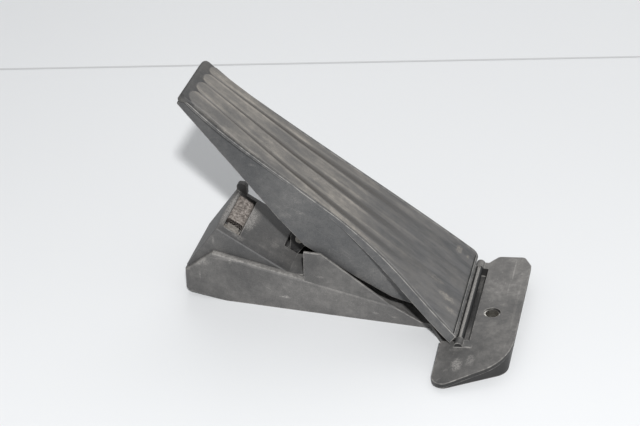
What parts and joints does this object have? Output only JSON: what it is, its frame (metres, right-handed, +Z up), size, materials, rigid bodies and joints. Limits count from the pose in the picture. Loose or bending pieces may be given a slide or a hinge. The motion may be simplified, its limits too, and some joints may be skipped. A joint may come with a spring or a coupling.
{
  "type": "accelerator pedal",
  "caption": "Floor-hinged accelerator pedal with a long ribbed tread on a hollow pedal, a foot plate with a bolt hole and a wedge-shaped sensor housing below.",
  "frame": {"origin": "axis of the bolt hole in the foot plate, on the underside that rests on the floor", "axes": "+X from the sensor end towards the driver's heel, +Z up from the floor, +Y along the hinge towards the connector"},
  "size_m": [0.2235, 0.1364, 0.1423],
  "materials": {
    "housing_plastic": "dusty matte",
    "cover_plastic": "dusty matte",
    "pedal_plastic": "dusty matte",
    "tread_rubber": "dusty matte",
    "buffer_rubber": "dusty matte",
    "clip_plastic": "dusty matte",
    "lever_plastic": "matte",
    "roller_plastic": "satin",
    "steel": "satin",
    "spring_steel": "satin",
    "bronze": "satin",
    "magnet": "matte",
    "board": "gloss",
    "chip": "satin",
    "terminal_metal": "gloss"
  },
  "bodies": {
    "base": {"base_housing": "housing_plastic", "housing_cover": "cover_plastic", "foot_sleeve": "steel", "hinge_pin": "steel", "stop_buffer": "buffer_rubber", "buffer_clip": "clip_plastic", "shaft_bush_near": "bronze", "shaft_bush_far": "bronze", "return_spring_near": "spring_steel", "return_spring_far": "spring_steel", "rest_buffer": "buffer_rubber", "sensor_board": "board", "sensor_chip": "chip", "sensor_lid": "cover_plastic", "lid_seal": "buffer_rubber", "connector_pins": "terminal_metal", "lid_screws": "steel", "cover_screws": "steel"},
    "pedal": {"pedal_carrier": "pedal_plastic", "pedal_tread": "tread_rubber"},
    "lever": {"drive_lever": "lever_plastic", "roller_pin": "steel", "lever_shaft": "steel", "sensor_magnet": "magnet", "friction_washer": "roller_plastic"},
    "roller": {"drive_roller": "roller_plastic"}
  },
  "joints": [
    {"name": "pedal_hinge", "type": "hinge", "parent": "base", "child": "pedal", "pos_m": [-0.0159, 0.0094, 0.0093], "axis": [0, -1, 0], "range_deg": [0, 10], "stiffness_Nm_per_rad": 3, "springref_deg": -14.32},
    {"name": "lever_turn", "type": "hinge", "parent": "base", "child": "lever", "pos_m": [-0.1669, 0.026, 0.022], "axis": [0, 1, 0], "range_deg": [0, 33], "deforming": ["return_spring_near", "return_spring_far"]},
    {"name": "roller_spin", "type": "hinge", "parent": "lever", "child": "roller", "pos_m": [-0.1324, 0.026, 0.036], "axis": [0, 1, 0], "continuous": true}
  ],
  "couplings": [
    {"joint": "lever_turn", "follows": "pedal_hinge", "ratio": 3.2353}
  ]
}
